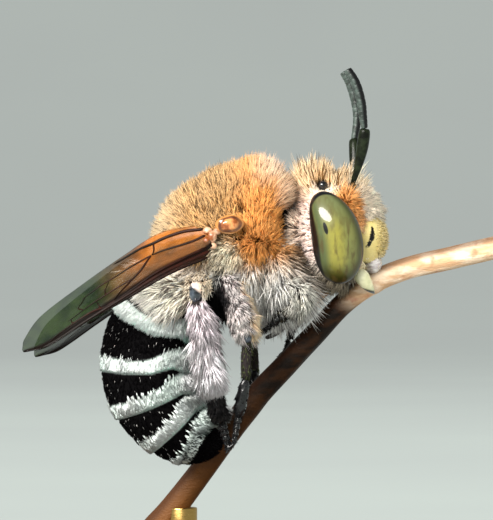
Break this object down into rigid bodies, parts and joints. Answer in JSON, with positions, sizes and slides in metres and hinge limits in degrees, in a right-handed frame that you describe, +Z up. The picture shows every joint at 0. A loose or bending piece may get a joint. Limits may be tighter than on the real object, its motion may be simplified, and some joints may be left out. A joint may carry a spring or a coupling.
{
  "type": "blue-banded bee on a twig perch with a display stand",
  "caption": "Life-size blue-banded bee roosting: jaws clamped on a bent twig, body hunched, abdomen curled down, wings folded back, on a round display stand.",
  "frame": {"origin": "centre of the underside of the stand's round base", "axes": "+X the way the bee faces, +Z up, -Y the bee's right side"},
  "size_m": [0.015, 0.014, 0.0163],
  "materials": {
    "bark": "matte bark, pinkish tan above the bee's jaws and dark brown below",
    "stand_wood": "dark stained, satin lacquer",
    "stand_brass": "satin",
    "eye": "olive green, glossy, with soft brown streaks and a dark rim",
    "face_plate": "yellow with a dark curved mark, satin",
    "lip": "pale, finely haired",
    "jaw": "ivory with a black tip, glossy",
    "head_coat": "fur: buff and gold above, grey-white behind and below",
    "wing_scale": "translucent amber, glossy",
    "thorax_coat": "fur: sandy above, orange at the sides, white below",
    "tongue": "golden brown at the root to black at the end",
    "abdomen_coat": "short black fur with pale blue-white bands",
    "leg_coat": "grey-brown fur, pinkish white on the hind shins",
    "foot": "black, finely haired",
    "wing_membrane": "clear smoky membrane with brown veins",
    "feeler_black": "black, glossy",
    "feeler_grey": "dark with a pale grey bloom"
  },
  "bodies": {
    "root": {"perch_twig": "bark", "stand_base": "stand_wood", "stand_rod": "stand_brass", "eye_right": "eye", "eye_left": "eye", "clypeus": "face_plate", "labrum": "lip", "mandible_right": "jaw", "mandible_left": "jaw", "head": "head_coat", "tegula_right": "wing_scale", "tegula_left": "wing_scale", "thorax": "thorax_coat", "proboscis": "tongue", "abdomen_ring_1": "abdomen_coat", "abdomen_ring_2": "abdomen_coat", "abdomen_ring_3": "abdomen_coat", "abdomen_ring_4": "abdomen_coat", "abdomen_ring_5": "abdomen_coat", "abdomen_ring_6": "abdomen_coat", "fore_leg_right_tibia": "leg_coat", "fore_leg_right_femur": "leg_coat", "fore_leg_right_tarsus": "foot", "fore_leg_left_tibia": "leg_coat", "fore_leg_left_femur": "leg_coat", "fore_leg_left_tarsus": "foot", "mid_leg_right_tibia": "leg_coat", "mid_leg_right_femur": "leg_coat", "mid_leg_right_tarsus": "foot", "mid_leg_left_tibia": "leg_coat", "mid_leg_left_femur": "leg_coat", "mid_leg_left_tarsus": "foot", "hind_leg_right_tibia": "leg_coat", "hind_leg_right_femur": "leg_coat", "hind_leg_right_tarsus": "foot", "hind_leg_left_tibia": "leg_coat", "hind_leg_left_femur": "leg_coat", "hind_leg_left_tarsus": "foot", "forewing_right": "wing_membrane", "hindwing_right": "wing_membrane", "forewing_left": "wing_membrane", "hindwing_left": "wing_membrane", "scape_right": "feeler_black", "flagellum_right": "feeler_grey", "scape_left": "feeler_black", "flagellum_left": "feeler_grey"}
  },
  "joints": []
}
